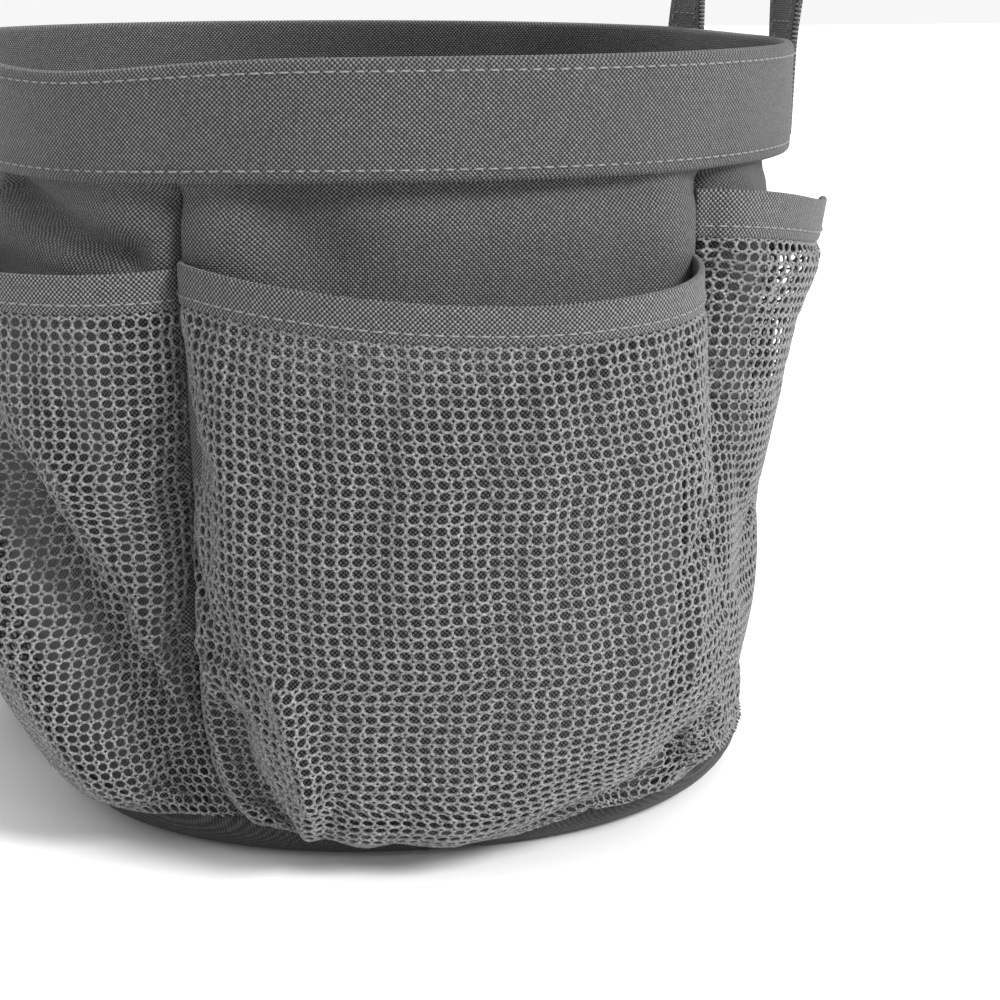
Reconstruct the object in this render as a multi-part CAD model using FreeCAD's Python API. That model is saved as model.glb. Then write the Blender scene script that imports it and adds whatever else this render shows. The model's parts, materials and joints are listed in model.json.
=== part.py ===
import FreeCAD, Part
import math
import os

"""Hanging toiletry bag: an oval fabric tub with a ring of mesh pockets, two carrying
handles that fold, and a swivel snap hook on a webbing loop. Millimetres, +Z up, origin at
the centre of the base. +X is one short end, -Y is the front long side.

The plan of the bag at every height is one small core rectangle grown by a radius, so a
place on the outline is a station: a distance run anticlockwise round it from the middle of
the +X end, measured at the middle of the pockets' height.
"""

# Body
BODY_HEIGHT = 200.0
CORE_X = 31.0
CORE_Y = 4.0
BASE_RADIUS = 101.0
RIM_RADIUS = 108.0
CLOTH = 1.2
BASE_ROLL = 10.0
BASE_SEAM_Z = 12.0
CORNER_SEAM_DEG = 37.0

# Hem round the mouth, and the tapes that bind the seams inside
HEM_BOTTOM = 171.0
HEM_CLOTH = 1.4
SEAM_TAPE_REACH = 8.0
SEAM_TAPE_THICK = 2.4
BASE_TAPE_HEIGHT = 8.0
BASE_TAPE_THICK = 1.8
FIT_GAP = 0.3

# Pockets
POCKETS_PER_SIDE = 3
POCKET_TOP = 150.0
BAND_BOTTOM = 140.0
MESH_THICK = 1.0
BAND_THICK = 1.8
END_POCKET_DEPTH = 32.0
SIDE_POCKET_DEPTH = 16.0
FULLEST_Z = 58.0
MOUTH_DEPTH_SHARE = 0.85
EDGE_POWER = 0.7
MESH_LEVELS = (0.0, 0.03, 0.1, 0.22, 0.38, 0.65, 1.0)
POCKET_SPANS = 10

# Handles
HANDLE_LEG_X = 42.0
STRAP_WIDTH = 24.0
STRAP_THICK = 2.4
HANDLE_TOP = 312.0
HANDLE_PIVOT_Z = BODY_HEIGHT + 1.5
HANDLE_Y = CORE_Y + RIM_RADIUS + HEM_CLOTH + FIT_GAP + STRAP_THICK / 2
SEWN_END_BOTTOM = 174.0
SEWN_END_TOP = 198.0
SEWN_END_THICK = 2.0

# Snap hook, drawn hanging straight down from its eye's bar at the local origin:
# +X across the hook, +Y away from the bag, and then leaned out over the pockets
LOOP_PIVOT_Z = 163.0
LOOP_STAND_OFF = 4.5
HOOK_LEAN_DEG = 30.0
WEBBING_WIDTH = 10.0
WEBBING_THICK = 1.2
EYE_WIRE = 1.5
EYE_HALF_WIDTH = 7.5
EYE_SHOULDER_Z = -4.0
BOSS_TOP_Z = -9.0
BOSS_BOTTOM_Z = -12.5
BOSS_RADIUS = 4.2
POST_RADIUS = 1.7
SWIVEL_CLEARANCE = 0.05
POST_HEAD_RADIUS = 2.3
POST_HEAD_HEIGHT = 1.0
HOOK_WIRE = 2.0
HOOK_HALF_WIDTH = 7.0
HOOK_TOP_Z = -21.5
HOOK_BOWL_Z = -34.0
HOOK_NOSE_Z = -31.0
FORK_SLOT = 1.8
GATE_EYE_THICK = 1.5
GATE_EYE_RADIUS = 1.9
GATE_WIRE = 1.3
GATE_PIN_RADIUS = 0.8
SPRING_WIRE = 0.35


def radius_at(z):
    """Radius grown round the core rectangle at height z."""
    return BASE_RADIUS + (RIM_RADIUS - BASE_RADIUS) * z / BODY_HEIGHT


def polar(radius, degrees):
    """Plan vector of a length and direction."""
    angle = math.radians(degrees)
    return FreeCAD.Vector(radius * math.cos(angle), radius * math.sin(angle), 0)


def outline(radius, z):
    """Closed plan of the bag at height z: four corner arcs and the short runs between."""
    corners = ((CORE_X, CORE_Y), (-CORE_X, CORE_Y), (-CORE_X, -CORE_Y), (CORE_X, -CORE_Y))
    arcs = []
    for quarter, (x, y) in enumerate(corners):
        centre = FreeCAD.Vector(x, y, z)
        start, middle, end = (centre + polar(radius, 90 * quarter + turn) for turn in (0, 45, 90))
        arcs.append((Part.Arc(start, middle, end).toShape(), start, end))
    edges = []
    for index, (arc, start, end) in enumerate(arcs):
        next_start = arcs[(index + 1) % len(arcs)][1]
        edges.append(arc)
        edges.append(Part.LineSegment(end, next_start).toShape())
    return Part.Wire(edges)


def tub(z0, z1, offset):
    """Solid of the tapering tub between two heights, grown outwards by offset."""
    return Part.makeLoft([outline(radius_at(z) + offset, z) for z in (z0, z1)], True, True)


def ring(z0, z1, outside, inside):
    """Tapering ring between two heights, from one offset to a smaller one."""
    return tub(z0, z1, outside).cut(tub(z0 - 1, z1 + 1, inside))


def dish(roll, offset, floor_z, top_z):
    """Solid with a rolled lower edge of the given radius, standing on floor_z."""
    wires = []
    for degrees in (0, 18, 36, 54, 72, 90):
        angle = math.radians(degrees)
        z = floor_z + roll * (1 - math.cos(angle))
        inset = roll * (1 - math.sin(angle))
        wires.append(outline(radius_at(BASE_ROLL) + offset - inset, z))
    wires.append(outline(radius_at(top_z) + offset, top_z))
    return Part.makeLoft(wires, True, True)


def block(x0, x1, y0, y1, z0, z1):
    """Box between two corners."""
    return Part.makeBox(x1 - x0, y1 - y0, z1 - z0, FreeCAD.Vector(x0, y0, z0))


def prism(points, z0, z1):
    """Upright prism on a plan polygon."""
    corners = [FreeCAD.Vector(p.x, p.y, z0) for p in points]
    face = Part.Face(Part.makePolygon(corners + corners[:1]))
    return face.extrude(FreeCAD.Vector(0, 0, z1 - z0))


# Places on the outline

NOMINAL_RADIUS = radius_at(POCKET_TOP / 2)
CORNER_ARC = NOMINAL_RADIUS * math.pi / 2
PERIMETER = 4 * (CORE_X + CORE_Y + CORNER_ARC)


def station(distance):
    """Core point and outward direction in degrees at a distance round the outline."""
    runs = (
        ("line", CORE_Y, (CORE_X, 0), (0, 1), 0),
        ("arc", CORNER_ARC, (CORE_X, CORE_Y), None, 0),
        ("line", 2 * CORE_X, (CORE_X, CORE_Y), (-1, 0), 90),
        ("arc", CORNER_ARC, (-CORE_X, CORE_Y), None, 90),
        ("line", 2 * CORE_Y, (-CORE_X, CORE_Y), (0, -1), 180),
        ("arc", CORNER_ARC, (-CORE_X, -CORE_Y), None, 180),
        ("line", 2 * CORE_X, (-CORE_X, -CORE_Y), (1, 0), 270),
        ("arc", CORNER_ARC, (CORE_X, -CORE_Y), None, 270),
        ("line", CORE_Y, (CORE_X, -CORE_Y), (0, 1), 360),
    )
    left = distance % PERIMETER
    for kind, length, (x, y), heading, degrees in runs:
        if left <= length:
            break
        left -= length
    if kind == "arc":
        return FreeCAD.Vector(x, y, 0), degrees + 90 * left / CORNER_ARC
    return FreeCAD.Vector(x + heading[0] * left, y + heading[1] * left, 0), degrees


END_HALF = CORE_Y + NOMINAL_RADIUS * math.radians(CORNER_SEAM_DEG)
SIDE_POCKET = (PERIMETER / 2 - 2 * END_HALF) / POCKETS_PER_SIDE


def pocket_table():
    """Name, first station, last station and depth of each pocket, anticlockwise."""
    pockets = [("right_end", -END_HALF, END_HALF, END_POCKET_DEPTH)]
    place = END_HALF
    for number in range(POCKETS_PER_SIDE, 0, -1):
        pockets.append(("back_%d" % number, place, place + SIDE_POCKET, SIDE_POCKET_DEPTH))
        place += SIDE_POCKET
    pockets.append(("left_end", place, place + 2 * END_HALF, END_POCKET_DEPTH))
    place += 2 * END_HALF
    for number in range(1, POCKETS_PER_SIDE + 1):
        pockets.append(("front_%d" % number, place, place + SIDE_POCKET, SIDE_POCKET_DEPTH))
        place += SIDE_POCKET
    return pockets


def fullness(z):
    """Share of a pocket's depth that it stands off the wall at height z."""
    if z < FULLEST_Z:
        share = (z - BASE_SEAM_Z) / (FULLEST_Z - BASE_SEAM_Z)
        return math.sqrt(math.sin(max(share, 0) * math.pi / 2))
    return 1 - (1 - MOUTH_DEPTH_SHARE) * (z - FULLEST_Z) / (POCKET_TOP - FULLEST_Z)


def pocket_section(first, last, depth, z, thick):
    """Thin bowed strip across a pocket at height z."""
    inner = []
    outer = []
    for step in range(POCKET_SPANS + 1):
        across = 0.5 - 0.5 * math.cos(math.pi * step / POCKET_SPANS)
        core, degrees = station(first + (last - first) * across)
        bow = (4 * across * (1 - across)) ** EDGE_POWER
        stand_off = radius_at(z) + FIT_GAP + depth * bow * fullness(z)
        height = FreeCAD.Vector(0, 0, z)
        inner.append(core + polar(stand_off, degrees) + height)
        outer.append(core + polar(stand_off + thick, degrees) + height)
    inside = Part.BSplineCurve()
    inside.interpolate(inner)
    outside = Part.BSplineCurve()
    outside.interpolate(outer)
    sides = [Part.LineSegment(outer[-1], inner[-1]), Part.LineSegment(inner[0], outer[0])]
    return Part.Wire([outside.toShape(), sides[0].toShape(), inside.toShape(), sides[1].toShape()])


def pocket_sheet(first, last, depth, levels, thick):
    """Bowed sheet of a pocket through the given heights."""
    wires = [pocket_section(first, last, depth, z, thick) for z in levels]
    return Part.makeLoft(wires, True, True)


def body_parts():
    """Base, four wall panels, hem and the tapes on the inside seams."""
    parts = {}
    outside = dish(BASE_ROLL, 0, 0, BASE_SEAM_Z)
    inside = dish(BASE_ROLL - CLOTH, -CLOTH, CLOTH, BASE_SEAM_Z + 1)
    parts["base_panel"] = outside.cut(inside)

    wall = ring(BASE_SEAM_Z, BODY_HEIGHT - HEM_CLOTH, 0, -CLOTH)
    reach = 2 * RIM_RADIUS
    ends = {}
    for name, side in (("right", 1), ("left", -1)):
        near = FreeCAD.Vector(side * CORE_X, 0, 0)
        rays = []
        for turn in (-1, 1):
            corner = near + FreeCAD.Vector(0, turn * CORE_Y, 0)
            far = corner + FreeCAD.Vector(side * reach * math.cos(math.radians(CORNER_SEAM_DEG)),
                                          turn * reach * math.sin(math.radians(CORNER_SEAM_DEG)), 0)
            rays.append((corner, far))
        wedge = prism((rays[0][0], rays[0][1], rays[1][1], rays[1][0]), 0, BODY_HEIGHT)
        ends[name] = wedge
        parts["wall_%s_end" % name] = wall.common(wedge)
    sides = wall.cut(ends["right"]).cut(ends["left"])
    parts["wall_front"] = sides.common(block(-reach, reach, -reach, 0, 0, BODY_HEIGHT))
    parts["wall_back"] = sides.common(block(-reach, reach, 0, reach, 0, BODY_HEIGHT))

    hem = ring(HEM_BOTTOM, BODY_HEIGHT, HEM_CLOTH, -CLOTH - HEM_CLOTH)
    parts["top_hem"] = hem.cut(wall)

    tape_low = BASE_SEAM_Z + BASE_TAPE_HEIGHT
    tape_out = -CLOTH - FIT_GAP
    parts["base_seam_tape"] = ring(BASE_SEAM_Z, tape_low, tape_out, tape_out - BASE_TAPE_THICK)
    for name, x, y, degrees in (("right_back", 1, 1, CORNER_SEAM_DEG),
                                ("left_back", -1, 1, 180 - CORNER_SEAM_DEG),
                                ("left_front", -1, -1, 180 + CORNER_SEAM_DEG),
                                ("right_front", 1, -1, -CORNER_SEAM_DEG)):
        wires = []
        for z in (tape_low + FIT_GAP, HEM_BOTTOM - FIT_GAP):
            wires.append(seam_tape_section(x * CORE_X, y * CORE_Y, degrees, z))
        parts["seam_tape_%s" % name] = Part.makeLoft(wires, True, True)
    return parts


def seam_tape_section(x, y, degrees, z):
    """Plan of the bound seam allowance that stands inwards at a corner seam."""
    corner = FreeCAD.Vector(x, y, z)
    outer = radius_at(z) - CLOTH - FIT_GAP
    across = polar(SEAM_TAPE_THICK / 2, degrees + 90)
    points = []
    for radius, side in ((outer, -1), (outer, 1), (outer - SEAM_TAPE_REACH, 1), (outer - SEAM_TAPE_REACH, -1)):
        points.append(corner + polar(radius, degrees) + across * side)
    return Part.makePolygon(points + points[:1])


def pocket_parts():
    """Mesh and Oxford band of every pocket."""
    parts = {}
    mesh_top = BAND_BOTTOM - FIT_GAP
    mesh_bottom = BASE_SEAM_Z
    mesh_levels = [mesh_bottom + share * (mesh_top - mesh_bottom) for share in MESH_LEVELS]
    for name, first, last, depth in pocket_table():
        parts["pocket_mesh_%s" % name] = pocket_sheet(first, last, depth, mesh_levels, MESH_THICK)
        parts["pocket_band_%s" % name] = pocket_sheet(first, last, depth, (BAND_BOTTOM, POCKET_TOP), BAND_THICK)
    return parts


def handle_loop(side):
    """Strap arch that stands over one long side."""
    bend_z = HANDLE_TOP - HANDLE_LEG_X - STRAP_WIDTH / 2
    foot_z = HANDLE_PIVOT_Z + FIT_GAP
    y = side * HANDLE_Y - STRAP_THICK / 2
    edges = []
    reaches = (HANDLE_LEG_X + STRAP_WIDTH / 2, HANDLE_LEG_X - STRAP_WIDTH / 2)
    for reach in reaches:
        left_foot = FreeCAD.Vector(-reach, y, foot_z)
        left_bend = FreeCAD.Vector(-reach, y, bend_z)
        crown = FreeCAD.Vector(0, y, bend_z + reach)
        right_bend = FreeCAD.Vector(reach, y, bend_z)
        right_foot = FreeCAD.Vector(reach, y, foot_z)
        edges.append(Part.LineSegment(left_foot, left_bend).toShape())
        edges.append(Part.Arc(left_bend, crown, right_bend).toShape())
        edges.append(Part.LineSegment(right_bend, right_foot).toShape())
    for end in (-1, 1):
        feet = [FreeCAD.Vector(end * reach, y, foot_z) for reach in reaches]
        edges.append(Part.LineSegment(feet[0], feet[1]).toShape())
    arch = Part.Face(Part.Wire(Part.__sortEdges__(edges)))
    return arch.extrude(FreeCAD.Vector(0, STRAP_THICK, 0))


def handle_parts():
    """Folding loops, and their ends sewn flat on the hem."""
    parts = {}
    patch = ring(SEWN_END_BOTTOM, SEWN_END_TOP, HEM_CLOTH + SEWN_END_THICK, HEM_CLOTH)
    for name, side in (("front", -1), ("back", 1)):
        parts["handle_%s_loop" % name] = handle_loop(side)
        ends = []
        for end in (-1, 1):
            x = end * HANDLE_LEG_X
            y0, y1 = sorted((0, side * 2 * RIM_RADIUS))
            cutter = block(x - STRAP_WIDTH / 2, x + STRAP_WIDTH / 2, y0, y1, 0, BODY_HEIGHT)
            ends.append(patch.common(cutter).Solids[0])
        parts["handle_%s_sewn_ends" % name] = Part.makeCompound(ends)
    return parts


def hook_frame():
    """Placement of the hanging hook at the left back corner seam."""
    degrees = 180 - CORNER_SEAM_DEG
    pivot = FreeCAD.Vector(-CORE_X, CORE_Y, LOOP_PIVOT_Z)
    pivot += polar(radius_at(LOOP_PIVOT_Z) + LOOP_STAND_OFF, degrees)
    turn = FreeCAD.Rotation(FreeCAD.Vector(0, 0, 1), degrees - 90)
    lean = FreeCAD.Rotation(FreeCAD.Vector(1, 0, 0), HOOK_LEAN_DEG)
    return pivot, turn, turn.multiply(lean)


def placed(shape, pivot, rotation):
    """Copy of a shape moved from the local origin to a pivot."""
    copy = shape.copy()
    copy.Placement = FreeCAD.Placement(pivot, rotation)
    return copy


def rod(start, end, radius):
    """Round rod between two points."""
    return Part.makeCylinder(radius, (end - start).Length, start, end - start)


def webbing_loop():
    """Folded webbing: a doubled tail on the hem and a loop round the eye's bar."""
    half = WEBBING_WIDTH / 2
    bore = EYE_WIRE + SWIVEL_CLEARANCE
    wrap = bore + WEBBING_THICK
    tail_y = HEM_CLOTH + radius_at(HEM_BOTTOM) - radius_at(LOOP_PIVOT_Z) - LOOP_STAND_OFF + FIT_GAP
    tail_low = HEM_BOTTOM - LOOP_PIVOT_Z + 2
    tail_high = BODY_HEIGHT - LOOP_PIVOT_Z - 6
    centre = FreeCAD.Vector(-half, 0, 0)
    outer = Part.makeCylinder(wrap, WEBBING_WIDTH, centre, FreeCAD.Vector(1, 0, 0))
    outer = outer.fuse(block(-half, half, -wrap, wrap, 0, 5))
    inner = Part.makeCylinder(bore, WEBBING_WIDTH, centre, FreeCAD.Vector(1, 0, 0))
    inner = inner.fuse(block(-half, half, -bore, bore, 0, 4))
    loop = outer.cut(inner)
    profile = [FreeCAD.Vector(-half, y, z) for y, z in (
        (-wrap, 5), (wrap, 5), (tail_y + 2 * WEBBING_THICK, tail_low),
        (tail_y + 2 * WEBBING_THICK + 1.6, tail_high), (tail_y + 1.6, tail_high), (tail_y, tail_low))]
    tail = Part.Face(Part.makePolygon(profile + profile[:1])).extrude(FreeCAD.Vector(WEBBING_WIDTH, 0, 0))
    return loop.fuse(tail).removeSplitter()


def swivel_eye():
    """Wire eye with a straight bar in the webbing and a bored boss below."""
    corners = [FreeCAD.Vector(x, 0, z) for x, z in (
        (-EYE_HALF_WIDTH, 0), (EYE_HALF_WIDTH, 0), (EYE_HALF_WIDTH, EYE_SHOULDER_Z),
        (BOSS_RADIUS - 1, (BOSS_TOP_Z + BOSS_BOTTOM_Z) / 2), (1 - BOSS_RADIUS, (BOSS_TOP_Z + BOSS_BOTTOM_Z) / 2),
        (-EYE_HALF_WIDTH, EYE_SHOULDER_Z))]
    eye = Part.makeSphere(EYE_WIRE, corners[0])
    for index, corner in enumerate(corners):
        after = corners[(index + 1) % len(corners)]
        if index != 3:
            eye = eye.fuse(rod(corner, after, EYE_WIRE))
        eye = eye.fuse(Part.makeSphere(EYE_WIRE, corner))
    boss = rod(FreeCAD.Vector(0, 0, BOSS_BOTTOM_Z), FreeCAD.Vector(0, 0, BOSS_TOP_Z), BOSS_RADIUS)
    hollow = rod(FreeCAD.Vector(0, 0, BOSS_BOTTOM_Z - 1), FreeCAD.Vector(0, 0, BOSS_TOP_Z + 1),
                 POST_RADIUS + SWIVEL_CLEARANCE)
    return eye.fuse(boss).cut(hollow)


def hook_body():
    """Post, collar and open C of the hook, with a fork for the gate."""
    head_low = BOSS_TOP_Z + SWIVEL_CLEARANCE
    collar_top = BOSS_BOTTOM_Z - SWIVEL_CLEARANCE
    collar_low = HOOK_TOP_Z + HOOK_HALF_WIDTH
    body = rod(FreeCAD.Vector(0, 0, collar_low), FreeCAD.Vector(0, 0, head_low), POST_RADIUS)
    body = body.fuse(rod(FreeCAD.Vector(0, 0, head_low), FreeCAD.Vector(0, 0, head_low + POST_HEAD_HEIGHT),
                         POST_HEAD_RADIUS))
    body = body.fuse(rod(FreeCAD.Vector(0, 0, collar_low), FreeCAD.Vector(0, 0, collar_top), BOSS_RADIUS))
    hinge = FreeCAD.Vector(HOOK_HALF_WIDTH, 0, HOOK_TOP_Z)
    left_top = FreeCAD.Vector(-HOOK_HALF_WIDTH, 0, HOOK_TOP_Z)
    left_low = FreeCAD.Vector(-HOOK_HALF_WIDTH, 0, HOOK_BOWL_Z)
    right_low = FreeCAD.Vector(HOOK_HALF_WIDTH, 0, HOOK_BOWL_Z)
    nose = FreeCAD.Vector(HOOK_HALF_WIDTH, 0, HOOK_NOSE_Z)
    top = FreeCAD.Vector(0, 0, HOOK_TOP_Z + HOOK_HALF_WIDTH)
    bottom = FreeCAD.Vector(0, 0, HOOK_BOWL_Z - HOOK_HALF_WIDTH)
    spine = Part.Wire([Part.Arc(hinge, top, left_top).toShape(),
                       Part.LineSegment(left_top, left_low).toShape(),
                       Part.Arc(left_low, bottom, right_low).toShape(),
                       Part.LineSegment(right_low, nose).toShape()])
    section = Part.Wire(Part.makeCircle(HOOK_WIRE, hinge, FreeCAD.Vector(0, 0, 1)))
    body = body.fuse(spine.makePipeShell([section], True, True))
    body = body.fuse(rod(hinge - FreeCAD.Vector(0, HOOK_WIRE + 0.6, 0), hinge + FreeCAD.Vector(0, HOOK_WIRE + 0.6, 0),
                         HOOK_WIRE + 0.2))
    room = GATE_EYE_RADIUS + 0.5
    slot = block(HOOK_HALF_WIDTH - room - 1.5, HOOK_HALF_WIDTH + 2 * room, -FORK_SLOT / 2, FORK_SLOT / 2,
                 HOOK_TOP_Z - 2 * room, HOOK_TOP_Z + room)
    pin_hole = rod(hinge - FreeCAD.Vector(0, 5, 0), hinge + FreeCAD.Vector(0, 5, 0), GATE_PIN_RADIUS)
    return body.cut(slot).cut(pin_hole)


def gate_parts():
    """Sprung gate, its rivet and its spring, all hung on the fork."""
    hinge = FreeCAD.Vector(HOOK_HALF_WIDTH, 0, HOOK_TOP_Z)
    side = FreeCAD.Vector(0, GATE_EYE_THICK / 2, 0)
    gate = rod(hinge - side, hinge + side, GATE_EYE_RADIUS)
    below_fork = HOOK_TOP_Z - HOOK_WIRE - 0.6
    arm = block(HOOK_HALF_WIDTH - GATE_WIRE, HOOK_HALF_WIDTH + GATE_WIRE, -GATE_EYE_THICK / 2, GATE_EYE_THICK / 2,
                below_fork - 0.8, HOOK_TOP_Z)
    finger = rod(FreeCAD.Vector(HOOK_HALF_WIDTH, 0, HOOK_NOSE_Z + FIT_GAP),
                 FreeCAD.Vector(HOOK_HALF_WIDTH, 0, below_fork), GATE_WIRE + 0.3)
    bore = rod(hinge - side * 2, hinge + side * 2, GATE_PIN_RADIUS + SWIVEL_CLEARANCE)
    pin_side = FreeCAD.Vector(0, HOOK_WIRE + 0.6, 0)
    pin = rod(hinge - pin_side, hinge + pin_side, GATE_PIN_RADIUS)
    low = FreeCAD.Vector(HOOK_HALF_WIDTH - GATE_EYE_RADIUS - SPRING_WIRE - 0.1, 0, HOOK_TOP_Z + 0.2)
    high = FreeCAD.Vector(HOOK_HALF_WIDTH - GATE_EYE_RADIUS - SPRING_WIRE - 0.1, 0, HOOK_TOP_Z + 2.4)
    return {"hook_gate": gate.fuse(arm).fuse(finger).cut(bore), "hook_gate_rivet": pin,
            "hook_gate_spring": rod(low, high, SPRING_WIRE)}


def hook_parts():
    """Webbing loop, swivel eye, hook and gate at the left back corner."""
    pivot, upright, leaned = hook_frame()
    parts = {"hook_webbing_loop": placed(webbing_loop(), pivot, upright),
             "hook_swivel_eye": placed(swivel_eye(), pivot, leaned),
             "hook_body": placed(hook_body(), pivot, leaned)}
    for name, shape in gate_parts().items():
        parts[name] = placed(shape, pivot, leaned)
    return parts


os.makedirs("parts", exist_ok=True)
for group in (body_parts(), pocket_parts(), handle_parts(), hook_parts()):
    for node, solid in group.items():
        solid.exportStep("parts/%s.step" % node)
        print(node, len(solid.Solids), solid.isValid(), round(solid.Volume, 1))
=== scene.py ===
import json
import math

import bmesh
import bpy
import numpy as np
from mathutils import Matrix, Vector


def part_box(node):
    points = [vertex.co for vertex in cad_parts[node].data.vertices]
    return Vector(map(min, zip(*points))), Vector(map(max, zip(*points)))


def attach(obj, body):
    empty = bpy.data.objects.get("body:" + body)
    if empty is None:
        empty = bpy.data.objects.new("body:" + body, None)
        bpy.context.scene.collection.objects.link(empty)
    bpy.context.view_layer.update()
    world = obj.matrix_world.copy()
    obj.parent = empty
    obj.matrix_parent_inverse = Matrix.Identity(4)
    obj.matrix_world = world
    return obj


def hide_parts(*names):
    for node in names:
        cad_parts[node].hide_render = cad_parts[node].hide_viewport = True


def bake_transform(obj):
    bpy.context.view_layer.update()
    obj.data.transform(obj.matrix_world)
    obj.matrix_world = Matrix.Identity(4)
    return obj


# Looks of the hanging toiletry bag. Lengths are in millimetres until a mesh is made.
#
# The plan of the bag at every height is a core rectangle grown by a radius, so a place on
# the outline is a station: a distance run anticlockwise round it from the middle of the
# right end, measured at the middle of the pockets' height.

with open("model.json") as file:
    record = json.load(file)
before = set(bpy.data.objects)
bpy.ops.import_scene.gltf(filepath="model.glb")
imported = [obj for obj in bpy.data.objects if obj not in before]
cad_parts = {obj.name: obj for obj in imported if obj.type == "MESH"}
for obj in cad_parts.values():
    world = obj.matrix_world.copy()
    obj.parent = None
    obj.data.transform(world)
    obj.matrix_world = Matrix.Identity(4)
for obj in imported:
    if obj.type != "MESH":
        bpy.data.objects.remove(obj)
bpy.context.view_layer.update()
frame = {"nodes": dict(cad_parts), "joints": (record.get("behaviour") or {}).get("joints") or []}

MM = 0.001
UP = np.array([0.0, 0.0, 1.0])

# Cloth and thread
CLOTH = 1.2
THREAD_PITCH = 0.6
STITCH_PITCH = 3.5
STITCH_LENGTH = 2.7
STITCH_RADIUS = 0.26
STITCH_INSET = 2.6
GRID_STEP = 3.0

# Pocket mesh: one round hole to a cell, and a small gap where four cells meet
MESH_COLUMN = 3.2
MESH_ROW = 2.72
MESH_THICK = 0.6
HOLE_SHARE = 0.42
GAP_SHARE = 0.17

# Slack that the pockets settle with
SLACK = 0.035
SLACK_REACH = 5.0
SETTLING_FRAMES = 22

# Plan
CORE_Y = 4.0
HEM_CLOTH = 1.4
HEM_THICK = 3.4
HEM_OUT = 0.6
CORNER_SEAM = math.radians(37)
POCKETS_PER_SIDE = 3
BAND_THICK = 1.8
BAND_LAP = 2.0
BASE_ROLL = 12.0
BINDING_WIDTH = 8.0
STRAP_WIDTH = 24.0
STRAP_THICK = 2.2
STRAP_FOOT = 174.0
STRAP_STITCH_LIFT = 1.15

# Where the soft tub gives: how deep, how far from the middle of the right end, and how wide
RIM_SLUMP = 4.5
RIM_SLUMP_AT = 105.0
RIM_SLUMP_WIDTH = 42.0
FOOT_TUCK = 12.0
FOOT_TUCK_AT = 162.0
FOOT_TUCK_WIDTH = 56.0
FOOT_TUCK_TOP = 80.0
WAIST = 4.5
WAIST_FOOT = 2.0
WAIST_AT = 120.0
WAIST_WIDTH = 50.0

# Wall relief
SEAM_VALLEY = 4.5
SEAM_CREASE = 3.5
HEM_TUCK = 2.6
WALL_PUFF = 2.2
WALL_SLACK = 3.0
WALL_RIPPLE = 0.7

# Pocket relief
FULL_ABOVE = 46.0
BOXY_LIFT = 7.0
FOOT_LEAN = 13.0
SEAM_SWING_OUT = 9.0
SEAM_SWING_IN = 4.5
MESH_GAP = 0.9
MESH_STAND = 0.8
MESH_RIPPLE = 0.8
EDGE_SINK = 1.4
EDGE_BURY = 1.6

# Camera
VIEW_AZIMUTH = math.radians(76.2)
VIEW_ELEVATION = math.radians(13.6)
VIEW_DISTANCE = 620.0
VIEW_HEIGHT = 80.0
LENS = 91.0
SHIFT = (0.0361, 0.0529)


def box_mm(node):
    """Lowest and highest corner of a CAD node in millimetres."""
    low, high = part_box(node)
    return np.array(low) / MM, np.array(high) / MM


BASE_HIGH = box_mm("base_panel")[1]
HEM_LOW, HEM_HIGH = box_mm("top_hem")
BAND_LOW, BAND_HIGH = box_mm("pocket_band_right_end")
CORE_X = CORE_Y + BASE_HIGH[0] - BASE_HIGH[1]
SEAM_Z = BASE_HIGH[2]
SEAM_RADIUS = BASE_HIGH[0] - CORE_X
RIM_Z = HEM_HIGH[2]
RIM_RADIUS = HEM_HIGH[0] - CORE_X - HEM_CLOTH
HEM_Z = HEM_LOW[2]
POCKET_TOP = BAND_HIGH[2]
BAND_Z = BAND_LOW[2]
END_DEPTH = BAND_HIGH[0] - CORE_X - RIM_RADIUS


def radius_at(z):
    """Radius grown round the core rectangle at height z."""
    return SEAM_RADIUS + (RIM_RADIUS - SEAM_RADIUS) * (z - SEAM_Z) / (RIM_Z - SEAM_Z)


CORNER_ARC = radius_at(POCKET_TOP / 2) * math.pi / 2
STOPS = np.cumsum([0, CORE_Y, CORNER_ARC, 2 * CORE_X, CORNER_ARC,
                   2 * CORE_Y, CORNER_ARC, 2 * CORE_X, CORNER_ARC, CORE_Y])
CORE_X_AT = CORE_X * np.array([1, 1, 1, -1, -1, -1, -1, 1, 1, 1])
CORE_Y_AT = CORE_Y * np.array([0, 1, 1, 1, 1, -1, -1, -1, -1, 0])
ANGLE_AT = math.pi / 2 * np.array([0, 0, 1, 1, 2, 2, 3, 3, 4, 4])
PERIMETER = STOPS[-1]
END_HALF = CORE_Y + radius_at(POCKET_TOP / 2) * CORNER_SEAM
SIDE_POCKET = (PERIMETER / 2 - 2 * END_HALF) / POCKETS_PER_SIDE
SEAMS = np.array([END_HALF, PERIMETER / 2 - END_HALF, PERIMETER / 2 + END_HALF, PERIMETER - END_HALF])


def drawn_in(around, z):
    """How far the soft tub is drawn in: at its left front foot, and below the mouth of the right pocket."""
    foot = FOOT_TUCK * bump(around, PERIMETER - FOOT_TUCK_AT, FOOT_TUCK_WIDTH)
    foot = foot * smooth((FOOT_TUCK_TOP - z) / FOOT_TUCK_TOP)
    waist = WAIST * smooth((142 - z) / 22) * smooth((z - 7) / 10) + WAIST_FOOT * bump(z, 32, 10)
    return foot + waist * bump(around, WAIST_AT, WAIST_WIDTH)


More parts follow.
